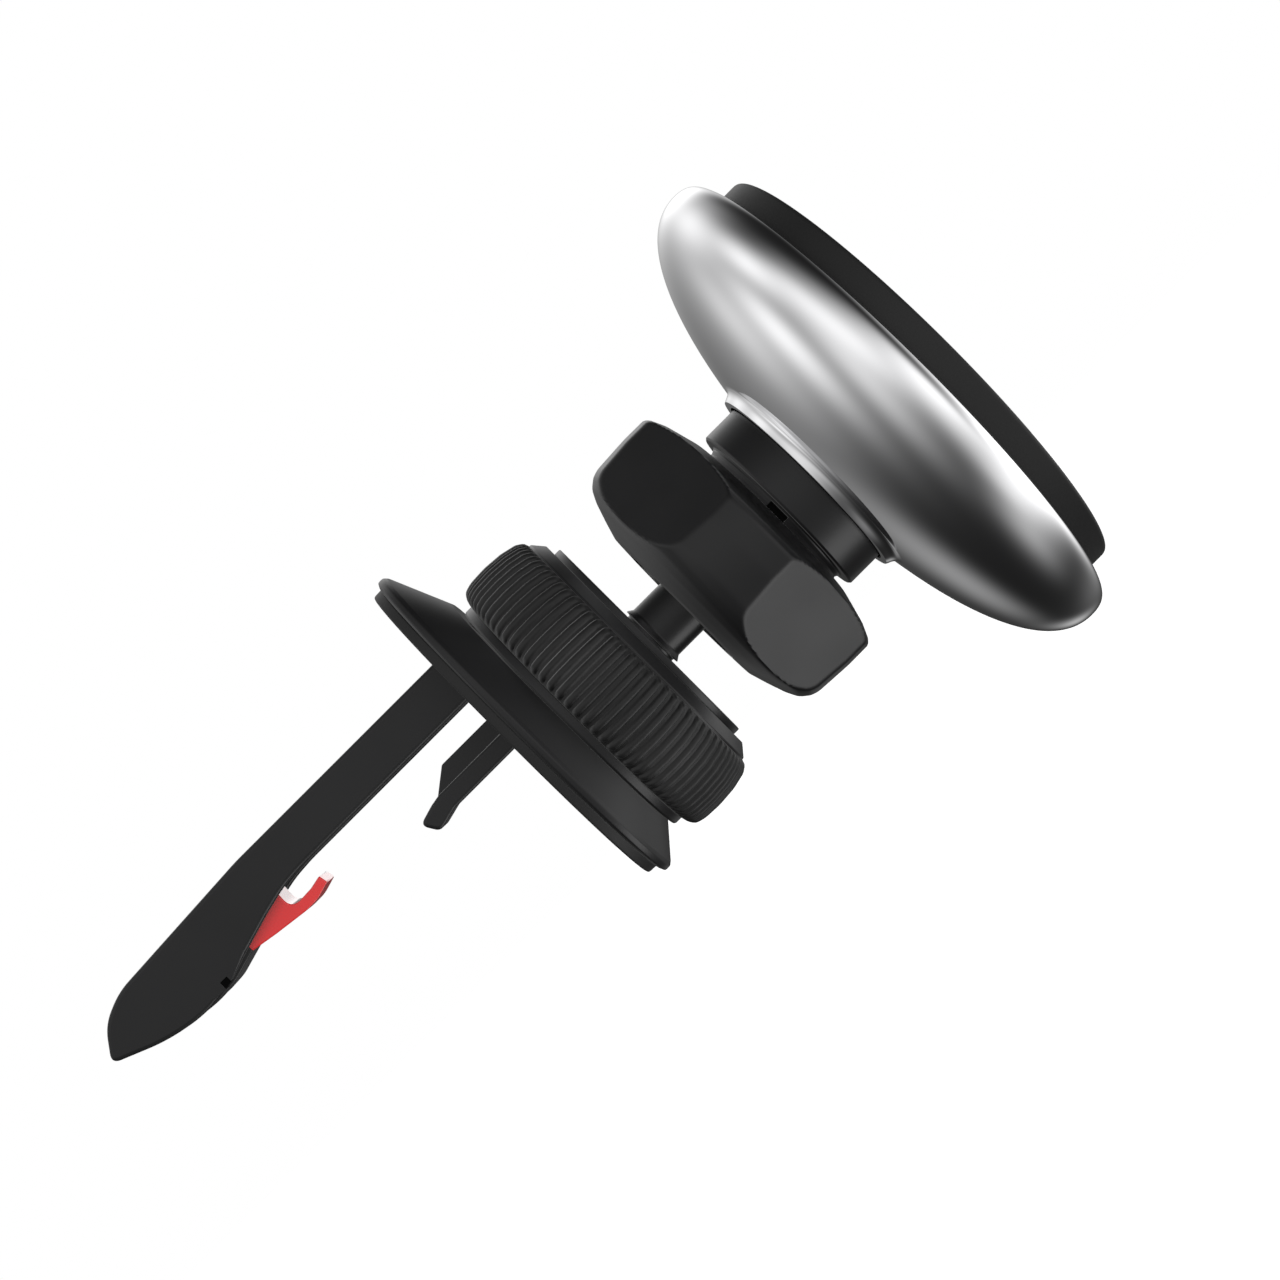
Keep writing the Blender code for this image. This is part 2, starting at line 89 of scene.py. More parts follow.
# --------------------------------------------------------------------------
# Surfaces
# --------------------------------------------------------------------------


def place(x: np.ndarray, y: np.ndarray, a: np.ndarray) -> np.ndarray:
    """Points of the frame in metres from sizes on the mount's axes.

    Formula: (X, Y, Z) = (x, -a, y) / 1000.

    Args:
        x: across the arm, in millimetres.
        y: up in use, in millimetres.
        a: along the main axis from the vent face, in millimetres.

    Returns:
        An array of points, shape (..., 3).
    """
    return np.stack(np.broadcast_arrays(x, -np.asarray(a), y), axis=-1) * MM


def softened(corners: Sequence[Corner], closed: bool = True, steps: int = 6) -> np.ndarray:
    """A path through corners, each one rounded by the radius it ends with.

    Formula: a corner P of radius r and turn w is cut back by c = r tan(w / 2),
    at most just under half of each leg, and becomes the curve
    (1 - t)^2 A + 2 t (1 - t) P + t^2 B between the two cut points A and B.

    Args:
        corners: points of any dimension, each with its radius as last number.
        closed: whether the last corner joins the first.
        steps: spans on each rounded corner.

    Returns:
        The path's points, without repeats.
    """
    table = np.array(corners, float)
    points, radius = table[:, :-1], table[:, -1]
    back = np.roll(points, 1, axis=0) - points
    ahead = np.roll(points, -1, axis=0) - points
    back_length = np.linalg.norm(back, axis=1)
    ahead_length = np.linalg.norm(ahead, axis=1)
    cosine = -(back * ahead).sum(axis=1) / (back_length * ahead_length)
    half_turn = np.arccos(np.clip(cosine, -1.0, 1.0)) / 2.0
    reach = np.minimum(back_length, ahead_length) * MOST_OF_A_LEG
    cut = np.minimum(radius * np.tan(np.minimum(half_turn, STEEPEST_HALF_TURN)), reach)
    if not closed:
        cut[[0, -1]] = 0.0
    start = points + back * (cut / back_length)[:, None]
    end = points + ahead * (cut / ahead_length)[:, None]
    t = np.linspace(0.0, 1.0, steps + 1)[None, :, None]
    curve = (1 - t) ** 2 * start[:, None] + 2 * t * (1 - t) * points[:, None] + t**2 * end[:, None]
    path = curve.reshape(-1, points.shape[1])
    gap = np.linalg.norm(path - np.roll(path, 1, axis=0), axis=1)
    if not closed:
        gap[0] = 1.0
    return path[gap > SHORTEST_STEP]


def resampled(path: np.ndarray, spacing: float) -> np.ndarray:
    """Points at even steps along an open path.

    Formula: the path's coordinates are read off at equal steps of its length.

    Args:
        path: points, shape (n, 2).
        spacing: longest step between the new points.

    Returns:
        The new points, with both ends kept.
    """
    length = np.concatenate([[0.0], np.cumsum(np.linalg.norm(np.diff(path, axis=0), axis=1))])
    steps = np.linspace(0.0, length[-1], int(math.ceil(length[-1] / spacing)) + 1)
    return np.stack([np.interp(steps, length, column) for column in path.T], axis=1)


def bezier(start: Corner, first: Corner, second: Corner, end: Corner, steps: int) -> np.ndarray:
    """A cubic curve, its first point left out so that curves can be chained.

    Formula: (1-t)^3 P0 + 3 t (1-t)^2 P1 + 3 t^2 (1-t) P2 + t^3 P3.

    Args:
        start: first point.
        first: handle of the first point.
        second: handle of the last point.
        end: last point.
        steps: spans along the curve.

    Returns:
        The points after the first one.
    """
    t = np.linspace(0.0, 1.0, steps + 1)[1:, None]
    p = [np.array(q, float) for q in (start, first, second, end)]
    return (1 - t) ** 3 * p[0] + 3 * t * (1 - t) ** 2 * p[1] + 3 * t**2 * (1 - t) * p[2] + t**3 * p[3]


def smooth_least(first: np.ndarray, second: np.ndarray, blend: float) -> np.ndarray:
    """The smaller of two values with a rounded change between them.

    Formula: min(p, q) - h^2 / (4 k), with h = max(k - |p - q|, 0).

    Args:
        first: values p.
        second: values q.
        blend: width k of the rounding.

    Returns:
        The blended minimum.
    """
    h = np.maximum(blend - np.abs(first - second), 0.0)
    return np.minimum(first, second) - h**2 / (4.0 * blend)


def grid_faces(rows: int, columns: int, closed_rows: bool) -> list[list[int]]:
    """Quads of a grid whose columns close on themselves.

    Formula: point (i, j) is number i * columns + j, and each quad joins
    (i, j), (i, j + 1), (i + 1, j + 1) and (i + 1, j).

    Args:
        rows: rows of points.
        columns: points in a row.
        closed_rows: whether the last row joins the first.

    Returns:
        Four point numbers for each quad.
    """
    i = np.arange(rows if closed_rows else rows - 1)[:, None]
    j = np.arange(columns)[None, :]
    up, on = (i + 1) % rows, (j + 1) % columns
    quads = np.stack([i * columns + j, i * columns + on, up * columns + on, up * columns + j], axis=-1)
    return quads.reshape(-1, 4).tolist()


def finish_mesh(mesh: bpy.types.Mesh) -> None:
    """Merges doubles, turns faces outwards and smooths all but sharp edges."""
    work = bmesh.new()
    work.from_mesh(mesh)
    bmesh.ops.remove_doubles(work, verts=work.verts[:], dist=MERGE_DISTANCE)
    bmesh.ops.recalc_face_normals(work, faces=work.faces[:])
    work.to_mesh(mesh)
    work.free()
    mesh.shade_smooth()
    mesh.set_sharp_from_angle(angle=CREASE)
    mesh.update()


def new_piece(name: str, points: np.ndarray, faces: list[list[int]]) -> bpy.types.Object:
    """A linked mesh object at the origin.

    Args:
        name: the piece's name.
        points: its points in metres.
        faces: its faces as point numbers.

    Returns:
        The object.
    """
    mesh = bpy.data.meshes.new(name)
    mesh.from_pydata(points.reshape(-1, 3).tolist(), [], faces)
    finish_mesh(mesh)
    piece = bpy.data.objects.new(name, mesh)
    bpy.context.scene.collection.objects.link(piece)
    return piece


def lathe(
    name: str, profile: np.ndarray, columns: int, ring: bool, shape: Optional[Shape] = None
) -> bpy.types.Object:
    """A turned piece.

    Formula: x = R sin w, y = R cos w, a = a, where R is the profile's radius,
    or shape(r, a, w) where the section isn't round.

    Args:
        name: the piece's name.
        profile: points (r, a) in millimetres.
        columns: points round a turn.
        ring: whether the profile is a closed loop clear of the axis.
        shape: radius as a function of profile radius, height and angle.

    Returns:
        The object.
    """
    turn = np.linspace(0.0, FULL_TURN, columns, endpoint=False)[None, :]
    radius, along = profile[:, 0][:, None], profile[:, 1][:, None]
    if shape is not None:
        radius = shape(radius, along, turn)
    points = place(radius * np.sin(turn), radius * np.cos(turn), along)
    return new_piece(name, points, grid_faces(len(profile), columns, ring))


def inset(outline: np.ndarray, depth: np.ndarray, share: np.ndarray) -> np.ndarray:
    """Copies of a closed outline moved inwards.

    Formula: each point moves by depth * share * (n1 + n2) / (1 + n1 . n2),
    where n1 and n2 are the inward normals of its two edges and 1 + n1 . n2
    is held at a least value, so that sharp corners don't run away.

    Args:
        outline: points (y, a), shape (n, 2).
        depth: how far each copy moves, shape (m,).
        share: how much of the move each point takes, shape (n,).

    Returns:
        Points, shape (m, n, 2).
    """
    x, y = outline[:, 0], outline[:, 1]
    area = (x * np.roll(y, -1) - y * np.roll(x, -1)).sum()
    edge = np.roll(outline, -1, axis=0) - outline
    edge /= np.linalg.norm(edge, axis=1)[:, None]
    normal = np.stack([-edge[:, 1], edge[:, 0]], axis=1) * np.sign(area)
    before = np.roll(normal, 1, axis=0)
    spread = np.maximum(1.0 + (before * normal).sum(axis=1), LEAST_MITRE_SPREAD)
    mitre = (before + normal) * (share / spread)[:, None]
    return outline[None] + depth[:, None, None] * mitre[None]


def plate(
    name: str,
    outline: np.ndarray,
    low: float,
    high: float,
    bevel: float,
    crisp: Optional[Corner] = None,
    steps: int = 4,
) -> bpy.types.Object:
    """A flat plate with rounded edges, lying between two values of x.

    Formula: rows of the outline, inset by b (1 - sin t) at x = low +
    b (1 - cos t) for t from 0 to 90 degrees, and the same mirrored at high.
    The two flat faces are shaded flat and the rounded edges smooth.

    Args:
        name: the piece's name.
        outline: points (y, a) in millimetres.
        low: x of one face.
        high: x of the other face.
        bevel: radius of the edges.
        crisp: a point (y, a) round which the edges stay nearly square.
        steps: spans on each rounded edge.

    Returns:
        The object.
    """
    t = np.linspace(0.0, math.pi / 2, steps + 1)
    depth = bevel * (1.0 - np.sin(t))
    rise = bevel * (1.0 - np.cos(t))
    share = np.ones(len(outline))
    if crisp is not None:
        away = np.linalg.norm(outline - np.array(crisp), axis=1)
        share = np.clip(away - CRISP_REACH, LEAST_SHARE, 1.0)
    rows = np.concatenate([inset(outline, depth, share), inset(outline, depth[::-1], share)])
    x = np.concatenate([low + rise, high - rise[::-1]])
    points = place(x[:, None], rows[..., 0], rows[..., 1])
    count, total = len(outline), len(x)
    faces = grid_faces(total, count, False)
    faces.append(list(range(count)))
    faces.append(list(range((total - 1) * count, total * count)))
    piece = new_piece(name, points, faces)
    for face in piece.data.polygons:
        face.use_smooth = len(face.vertices) == 4
    modifier = piece.modifiers.new("flat_faces", "WEIGHTED_NORMAL")
    modifier.keep_sharp = True
    return piece


def oval(name: str, rows: np.ndarray, columns: int = 240, power: float = 2.2) -> bpy.types.Object:
    """A stack of rounded ovals closed by flat ends.

    Formula: x = X |cos w|^(2/p) sign(cos w), y = c + Y |sin w|^(2/p) sign(sin w)
    for each row (a, c, X, Y).

    Args:
        name: the piece's name.
        rows: height, centre and half widths of each oval, in millimetres.
        columns: points round an oval.
        power: exponent p of the oval, 2 for an ellipse.

    Returns:
        The object.
    """
    turn = np.linspace(0.0, FULL_TURN, columns, endpoint=False)[None, :]
    along, centre, wide, tall = (rows[:, k][:, None] for k in range(4))
    x = wide * np.sign(np.cos(turn)) * np.abs(np.cos(turn)) ** (2.0 / power)
    y = centre + tall * np.sign(np.sin(turn)) * np.abs(np.sin(turn)) ** (2.0 / power)
    faces = grid_faces(len(rows), columns, False)
    faces.append(list(range(columns)))
    faces.append(list(range((len(rows) - 1) * columns, len(rows) * columns)))
    return new_piece(name, place(x, y, along), faces)


def block(low: Corner, high: Corner) -> bpy.types.Object:
    """A box between two corners (x, y, a), used only as a cutter."""
    x, y, a = (v.ravel() for v in np.meshgrid(*zip(low, high), indexing="ij"))
    faces = [[0, 1, 3, 2], [4, 6, 7, 5], [0, 4, 5, 1], [2, 3, 7, 6], [0, 2, 6, 4], [1, 5, 7, 3]]
    return new_piece("cutter", place(x, y, a), faces)


def cut_away(piece: bpy.types.Object, cutters: Sequence[bpy.types.Object]) -> None:
    """Cuts solid blocks out of a piece and removes the blocks.

    Args:
        piece: the object whose mesh is changed.
        cutters: the objects taken away from it.
    """
    for cutter in cutters:
        modifier = piece.modifiers.new("opening", "BOOLEAN")
        modifier.operation, modifier.solver, modifier.object = "DIFFERENCE", "EXACT", cutter
    depsgraph = bpy.context.evaluated_depsgraph_get()
    mesh = bpy.data.meshes.new_from_object(piece.evaluated_get(depsgraph))
    piece.modifiers.clear()
    mesh.name = piece.name
    piece.data = mesh
    for cutter in cutters:
        bpy.data.objects.remove(cutter)
    finish_mesh(mesh)


# --------------------------------------------------------------------------
# Finishes
# --------------------------------------------------------------------------


class Texture(Enum):
    """How the fine surface of a finish was made."""

    MOULDED = "moulded"
    TURNED = "turned"
    BRUSHED = "brushed"


def add_node(
    tree: bpy.types.NodeTree, kind: str, values: Optional[dict] = None, **settings: object
) -> bpy.types.Node:
    """A new node with its settings and unlinked socket values.

    Args:
        tree: the tree it joins.
        kind: Blender's name for the node type.
        values: socket name or number to value.
        settings: node properties to set.

    Returns:
        The node.
    """
    node = tree.nodes.new(kind)
    for key, value in settings.items():
        setattr(node, key, value)
    for key, value in (values or {}).items():
        node.inputs[key].default_value = value
    return node


def surface_group() -> bpy.types.NodeTree:
    """Group of moulded or ground grain: a fine height and a broad mask.

    Formula: height = fine noise at the grain's scale; mask = broad noise at
    the cloud's scale, stretched so that 0.32 becomes 0 and 0.68 becomes 1.

    Returns:
        The group "surface_grain".
    """
    tree = bpy.data.node_groups.new("surface_grain", "ShaderNodeTree")
    for label in ("Vector", "Grain", "Cloud"):
        kind = "NodeSocketVector" if label == "Vector" else "NodeSocketFloat"
        tree.interface.new_socket(name=label, in_out="INPUT", socket_type=kind)
    for label in ("Height", "Mask"):
        tree.interface.new_socket(name=label, in_out="OUTPUT", socket_type="NodeSocketFloat")
    source, out = tree.nodes.new("NodeGroupInput"), tree.nodes.new("NodeGroupOutput")
    fine = add_node(tree, "ShaderNodeTexNoise", {"Detail": 3.0, "Roughness": 0.55})
    broad = add_node(tree, "ShaderNodeTexNoise", {"Detail": 2.0, "Roughness": 0.5})
    for node, scale in ((fine, "Grain"), (broad, "Cloud")):
        tree.links.new(source.outputs["Vector"], node.inputs["Vector"])
        tree.links.new(source.outputs[scale], node.inputs["Scale"])
    stretch = add_node(tree, "ShaderNodeMapRange", {"From Min": 0.32, "From Max": 0.68})
    tree.links.new(broad.outputs["Fac"], stretch.inputs["Value"])
    tree.links.new(fine.outputs["Fac"], out.inputs["Height"])
    tree.links.new(stretch.outputs["Result"], out.inputs["Mask"])
    return tree


@dataclass(frozen=True)
class Finish:
    """One finish of the mount, made of procedural nodes.

    The colour runs between two tones and the roughness between two values
    along the grain's soft mask, and the grain's height feeds a bump.
    """

    name: str
    slot: str
    tone: tuple[float, float, float]
    variation: float
    roughness: tuple[float, float]
    metallic: float = 0.0
    grain: float = 4000.0
    cloud: float = 90.0
    bump: float = 0.1
    coat: float = 0.0
    specular: float = 0.5
    texture: Texture = Texture.MOULDED

    def material(self) -> bpy.types.Material:
        """The finish's material, made the first time it is asked for."""
        found = bpy.data.materials.get(self.name)
        return found if found is not None else self._make()

    def _make(self) -> bpy.types.Material:
        """Builds the node tree.

        Returns:
            The new material.
        """
        material = bpy.data.materials.new(self.name)
        material.use_nodes = True
        tree = material.node_tree
        shader = tree.nodes["Principled BSDF"]
        shader.inputs["Metallic"].default_value = self.metallic
        shader.inputs["Coat Weight"].default_value = self.coat
        shader.inputs["Coat Roughness"].default_value = COAT_ROUGHNESS
        shader.inputs["Specular IOR Level"].default_value = self.specular
        places = add_node(tree, "ShaderNodeTexCoord")
        mapping = add_node(tree, "ShaderNodeMapping", {"Scale": self._stretch()})
        group = bpy.data.node_groups.get("surface_grain") or surface_group()
        grain = add_node(tree, "ShaderNodeGroup", node_tree=group)
        grain.inputs["Grain"].default_value = self.grain
        grain.inputs["Cloud"].default_value = self.cloud
        tree.links.new(places.outputs["Object"], mapping.inputs["Vector"])
        tree.links.new(mapping.outputs["Vector"], grain.inputs["Vector"])
        self._colour(tree, shader, grain)
        smoothest, roughest = self.roughness
        rough = add_node(tree, "ShaderNodeMapRange", {"To Min": smoothest, "To Max": roughest})
        tree.links.new(grain.outputs["Mask"], rough.inputs["Value"])
        tree.links.new(rough.outputs["Result"], shader.inputs["Roughness"])
        if self.bump > 0.0:
            bump = add_node(tree, "ShaderNodeBump", {"Strength": self.bump, "Distance": BUMP_DEPTH})
            tree.links.new(grain.outputs["Height"], bump.inputs["Height"])
            tree.links.new(bump.outputs["Normal"], shader.inputs["Normal"])
        return material

    def _stretch(self) -> tuple[float, float, float]:
        """Scale of the grain along each axis: drawn out where it was brushed or turned."""
        return {
            Texture.MOULDED: (1.0, 1.0, 1.0),
            Texture.TURNED: (0.25, 6.0, 0.25),
            Texture.BRUSHED: (4.0, 0.2, 4.0),
        }[self.texture]

    def _colour(self, tree: bpy.types.NodeTree, shader: bpy.types.Node, grain: bpy.types.Node) -> None:
        """Mixes the finish's two tones along the grain's mask into the base colour.

        Args:
            tree: the material's node tree.
            shader: its Principled BSDF.
            grain: its grain group node.
        """
        mix = add_node(tree, "ShaderNodeMix", data_type="RGBA")
        low = tuple(c * (1.0 - self.variation) for c in self.tone)
        high = tuple(min(c * (1.0 + self.variation), 1.0) for c in self.tone)
        mix.inputs[6].default_value = (*low, 1.0)
        mix.inputs[7].default_value = (*high, 1.0)
        tree.links.new(grain.outputs["Mask"], mix.inputs["Factor"])
        tree.links.new(mix.outputs[2], shader.inputs["Base Color"])


SATIN_BLACK = Finish(
    "satin_black", "black_plastic", (0.0075, 0.0075, 0.0078), 0.10, (0.34, 0.40),
    grain=6000.0, bump=0.10, specular=0.28,
)
FINE_BLACK = Finish(
    "fine_black", "black_plastic", (0.0065, 0.0065, 0.0068), 0.10, (0.30, 0.36),
    grain=7000.0, bump=0.06, specular=0.28,
)
# Near-black matte finish with almost no shine: painted shade for the socket's slot floors and the
# arm's notch.
PAINTED_SHADE_BLACK = Finish(
    "painted_shade_black", "black_plastic", (0.0012, 0.0012, 0.0012), 0.10, (0.6, 0.7),
    grain=7000.0, bump=0.05, specular=0.03,
)
RIB_RUBBER = Finish(
    "rib_rubber", "black_rubber", (0.007, 0.007, 0.007), 0.15, (0.42, 0.52),
    grain=5200.0, bump=0.2, specular=0.3,
)
PAD_RUBBER = Finish(
    "pad_rubber", "black_rubber", (0.009, 0.009, 0.009), 0.12, (0.5, 0.6),
    grain=4200.0, bump=0.25, specular=0.28,
)
BLACK_CHROME = Finish(
    "black_chrome", "dark_chrome", (0.80, 0.80, 0.81), 0.01, (0.025, 0.045),
    metallic=1.0, grain=900.0, cloud=60.0, bump=0.0,
)
GLOSS_RED = Finish(
    "gloss_red", "red_plastic", (0.56, 0.016, 0.017), 0.04, (0.18, 0.24),
    grain=5000.0, bump=0.05, coat=0.3,
)
NYLON = Finish(
    "natural_nylon", "white_nylon", (0.68, 0.67, 0.62), 0.05, (0.40, 0.50),
    grain=3500.0, bump=0.12,
)
BRASS = Finish(
    "turned_brass", "brass", (0.62, 0.43, 0.18), 0.08, (0.22, 0.34),
    metallic=1.0, bump=0.18, texture=Texture.TURNED,
)
NICKEL = Finish(
    "plated_nickel", "nickel_plate", (0.62, 0.60, 0.56), 0.05, (0.12, 0.20), metallic=1.0, bump=0.04
)
ZINC_STEEL = Finish(
    "zinc_steel", "steel", (0.46, 0.46, 0.47), 0.08, (0.28, 0.40),
    metallic=1.0, bump=0.16, texture=Texture.BRUSHED,
)


@dataclass
class SubAssembly:
    """Pieces that belong together, with the finish, body and nodes of each."""

    pieces: list[bpy.types.Object] = field(default_factory=list)

    def add(
        self, piece: bpy.types.Object, finish: Finish, body: str, *nodes: str, mirrored: bool = False
    ) -> None:
        """Dresses a piece, lets it ride on a body and stand for its CAD nodes.

        Args:
            piece: the finished mesh object.
            finish: what it is made of.
            body: the CAD body it moves with.
            nodes: the CAD nodes it stands for.
            mirrored: whether polished pieces beside it show it.
        """
        piece.visible_glossy = mirrored
        piece.data.materials.clear()
        piece.data.materials.append(finish.material())
        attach(piece, body)
        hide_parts(*nodes)
        self.pieces.append(piece)
        log.info("%s: %d points on body %s", piece.name, len(piece.data.vertices), body)


# --------------------------------------------------------------------------
# Sub-assemblies
# --------------------------------------------------------------------------


@dataclass
class VentBase(SubAssembly):
    """Soft oval pad, oval plate over it, and the short foot under the slat.

    The rows of the two ovals are (a, centre, half width, half height, radius),
    and the foot's three outlines are (y, a, radius).
    """

    pad_rows: Sequence[Corner] = (
        (0.0, 3.2, 14.45, 20.55, 0.0),
        (0.0, 3.2, 14.85, 20.95, 0.3),
        (1.1, 3.2, 14.9, 21.0, 0.1),
        (1.22, 3.2, 14.75, 20.85, 0.05),
        (1.22, 3.2, 14.4, 20.5, 0.0),
    )
    plate_rows: Sequence[Corner] = (
        (1.2, 3.1, 14.2, 20.8, 0.0),
        (1.2, 3.1, 14.75, 21.4, 0.12),
        (1.45, 3.05, 15.2, 21.9, 0.25),
        (2.1, 3.05, 15.2, 21.9, 0.35),
        (2.5, 3.0, 14.92, 21.55, 0.5),
        (5.45, 1.22, 13.3, 16.4, 0.35),
        (5.45, 0.0, 12.75, 12.75, 0.05),
        (6.1, 0.0, 12.6, 12.6, 0.1),
        (6.1, 0.0, 12.2, 12.2, 0.0),
    )
    bar: Sequence[Corner] = (
        (1.95, 2.0, 0.0), (1.95, -9.6, 1.5), (1.25, -12.4, 0.9), (3.2, -13.6, 0.7),
        (3.9, -11.2, 1.0), (4.15, -9.8, 0.0), (4.15, 2.0, 0.0),
    )
    flange: Sequence[Corner] = (
        (1.75, 1.25, 0.2), (6.4, 1.25, 0.2), (6.4, 2.9, 0.2), (1.75, 2.9, 0.2),
    )
    web: Sequence[Corner] = (
        (3.0, 2.2, 0.0), (3.0, -9.0, 0.0), (3.6, -10.72, 0.25), (6.2, -7.4, 0.5), (6.2, 2.2, 0.0),
    )

    def build(self) -> None:
        """Makes the pad, the plate and the foot, with their openings."""
        pad = oval("vent_pad_skin", softened(self.pad_rows, closed=False))
        arm_window = block((-5.7, 8.7, -1.0), (5.7, 14.8, 2.0))
        foot_window = block((-4.4, 1.0, -1.0), (4.4, 6.6, 2.0))
        cut_away(pad, [arm_window, foot_window])
        self.add(pad, PAD_RUBBER, "base", "vent_pad")
        cover = oval("base_plate_skin", softened(self.plate_rows, closed=False))
        arm_slot = block((-5.7, 8.7, 0.0), (5.7, 14.8, 7.0))
        flange_pocket = block((-7.6, 1.45, 0.0), (7.6, 6.7, 3.2))
        cut_away(cover, [arm_slot, flange_pocket])
        self.add(cover, SATIN_BLACK, "base", "base_plate")
        foot = (
            ("support_foot_bar", self.bar, 4.0, 0.4),
            ("support_foot_web", self.web, 3.4, 0.15),
            ("support_foot_flange", self.flange, 7.2, 0.15),
        )
        for name, outline, half, bevel in foot:
            piece = plate(name, softened(outline), -half, half, bevel)
            self.add(piece, SATIN_BLACK, "base", "support_foot")


@dataclass
class BallStem(SubAssembly):
    """Ball stud that carries the head, with the cap and washer over the dial.

    Its outlines are (r, a, radius).
    """

    ball_radius: float = 7.0
    stem_radius: float = 3.44
    foot: Sequence[Corner] = (
        (3.44, 25.0, 0.0), (3.44, 18.8, 0.4), (3.9, 18.15, 0.1), (3.35, 18.1, 0.1),
        (3.35, 5.8, 0.0), (6.9, 5.8, 0.2), (6.9, 4.5, 0.2), (0.0, 4.5, 0.0),
    )
    cap: Sequence[Corner] = (
        (3.7, 16.99, 0.1), (13.7, 16.99, 0.1), (13.7, 17.8, 0.2), (3.7, 17.8, 0.15),
    )
    washer: Sequence[Corner] = (
        (5.6, 16.6, 0.1), (11.8, 16.6, 0.1), (11.8, 17.0, 0.1), (5.6, 17.0, 0.1),
    )

    def build(self) -> None:
        """Makes the stud, the top cap and the thrust washer."""
        lowest = math.asin(self.stem_radius / self.ball_radius)
        bend = np.linspace(0.0, math.pi - lowest, 64)
        ball_height = BALL_CENTRE + self.ball_radius * np.cos(bend)
        ball = np.stack([self.ball_radius * np.sin(bend), ball_height], axis=1)
        profile = np.concatenate([ball, softened(self.foot, closed=False)])
        self.add(lathe("ball_stud_skin", profile, 128, False), FINE_BLACK, "base", "ball_stud")
        cap = lathe("top_cap_skin", softened(self.cap), 192, True)
        self.add(cap, SATIN_BLACK, "base", "top_cap")
        washer = lathe("thrust_washer_skin", softened(self.washer), 160, True)
        self.add(washer, NYLON, "base", "thrust_washer")


@dataclass
class TurnDial(SubAssembly):
    """Dial that draws the arm in: hub with a cone and flange, ribbed sleeve, bush."""

    ribs: int = 84
    rib_height: float = 0.38
    rib_half: float = 0.44
    rib_ends: tuple[float, float] = (7.25, 15.2)
    points_per_rib: int = 16
    least_ribbed_radius: float = 15.4
    outline_step: float = 0.18
    hub: Sequence[Corner] = (
        (12.1, 17.0, 0.15), (14.95, 17.0, 0.4), (16.25, 15.9, 0.25), (16.25, 15.4, 0.0),
        (15.25, 15.4, 0.0), (15.25, 6.75, 0.0), (16.05, 6.7, 0.1), (16.05, 5.85, 0.15),
        (15.9, 5.62, 0.1), (13.5, 5.62, 0.1), (13.5, 14.9, 0.3), (5.2, 14.9, 0.1),
        (5.2, 16.3, 0.1), (12.1, 16.3, 0.1),
    )
    bore: Sequence[Corner] = ((15.3, 6.76), (15.3, 15.7))
    sleeve: Sequence[Corner] = (
        (16.4, 15.7, 0.0), (16.75, 15.7, 0.25), (17.4, 14.7, 0.8), (17.82, 12.9, 4.0),
        (18.0, 10.6, 8.0), (17.9, 8.4, 4.0), (17.6, 7.4, 0.9), (16.9, 6.76, 0.25),
        (16.5, 6.76, 0.0),
    )

    def ribbed(self, radius: np.ndarray, along: np.ndarray, turn: np.ndarray) -> np.ndarray:
        """Radius of the ribbed sleeve.

        Formula: R = r - h (1 - (1 - (d / w)^2.4)^(1 / 2)), a row of bars w
        wide each way, where d is the distance from the middle line of the
        nearest bar, which runs between the two rib ends; so each bar ends in
        a half round, d above w gives the valley's floor, and the sleeve's
        bore stays round.

        Args:
            radius: profile radius r.
            along: height on the axis.
            turn: angle w.

        Returns:
            The radius at each height and angle.
        """
        pitch = FULL_TURN / self.ribs
        across = (np.mod(turn + pitch / 2.0, pitch) - pitch / 2.0) * radius
        low, high = self.rib_ends
        beyond = np.maximum(low - along, 0.0) + np.maximum(along - high, 0.0)
        reach = np.minimum(np.hypot(across, beyond) / self.rib_half, 1.0)
        drop = self.rib_height * (1.0 - np.sqrt(1.0 - reach**2.4))
        return np.where(radius > self.least_ribbed_radius, radius - drop, radius)

    def build(self) -> None:
        """Makes the hub and the ribbed sleeve."""
        hub = lathe("dial_hub_skin", softened(self.hub), 256, True)
        self.add(hub, SATIN_BLACK, "dial", "dial_hub")
        outer = resampled(softened(self.sleeve, closed=False, steps=8), self.outline_step)
        profile = np.concatenate([np.array(self.bore), outer])
        sleeve = lathe("grip_sleeve_skin", profile, self.ribs * self.points_per_rib, True, self.ribbed)
        self.add(sleeve, RIB_RUBBER, "dial", "grip_sleeve")


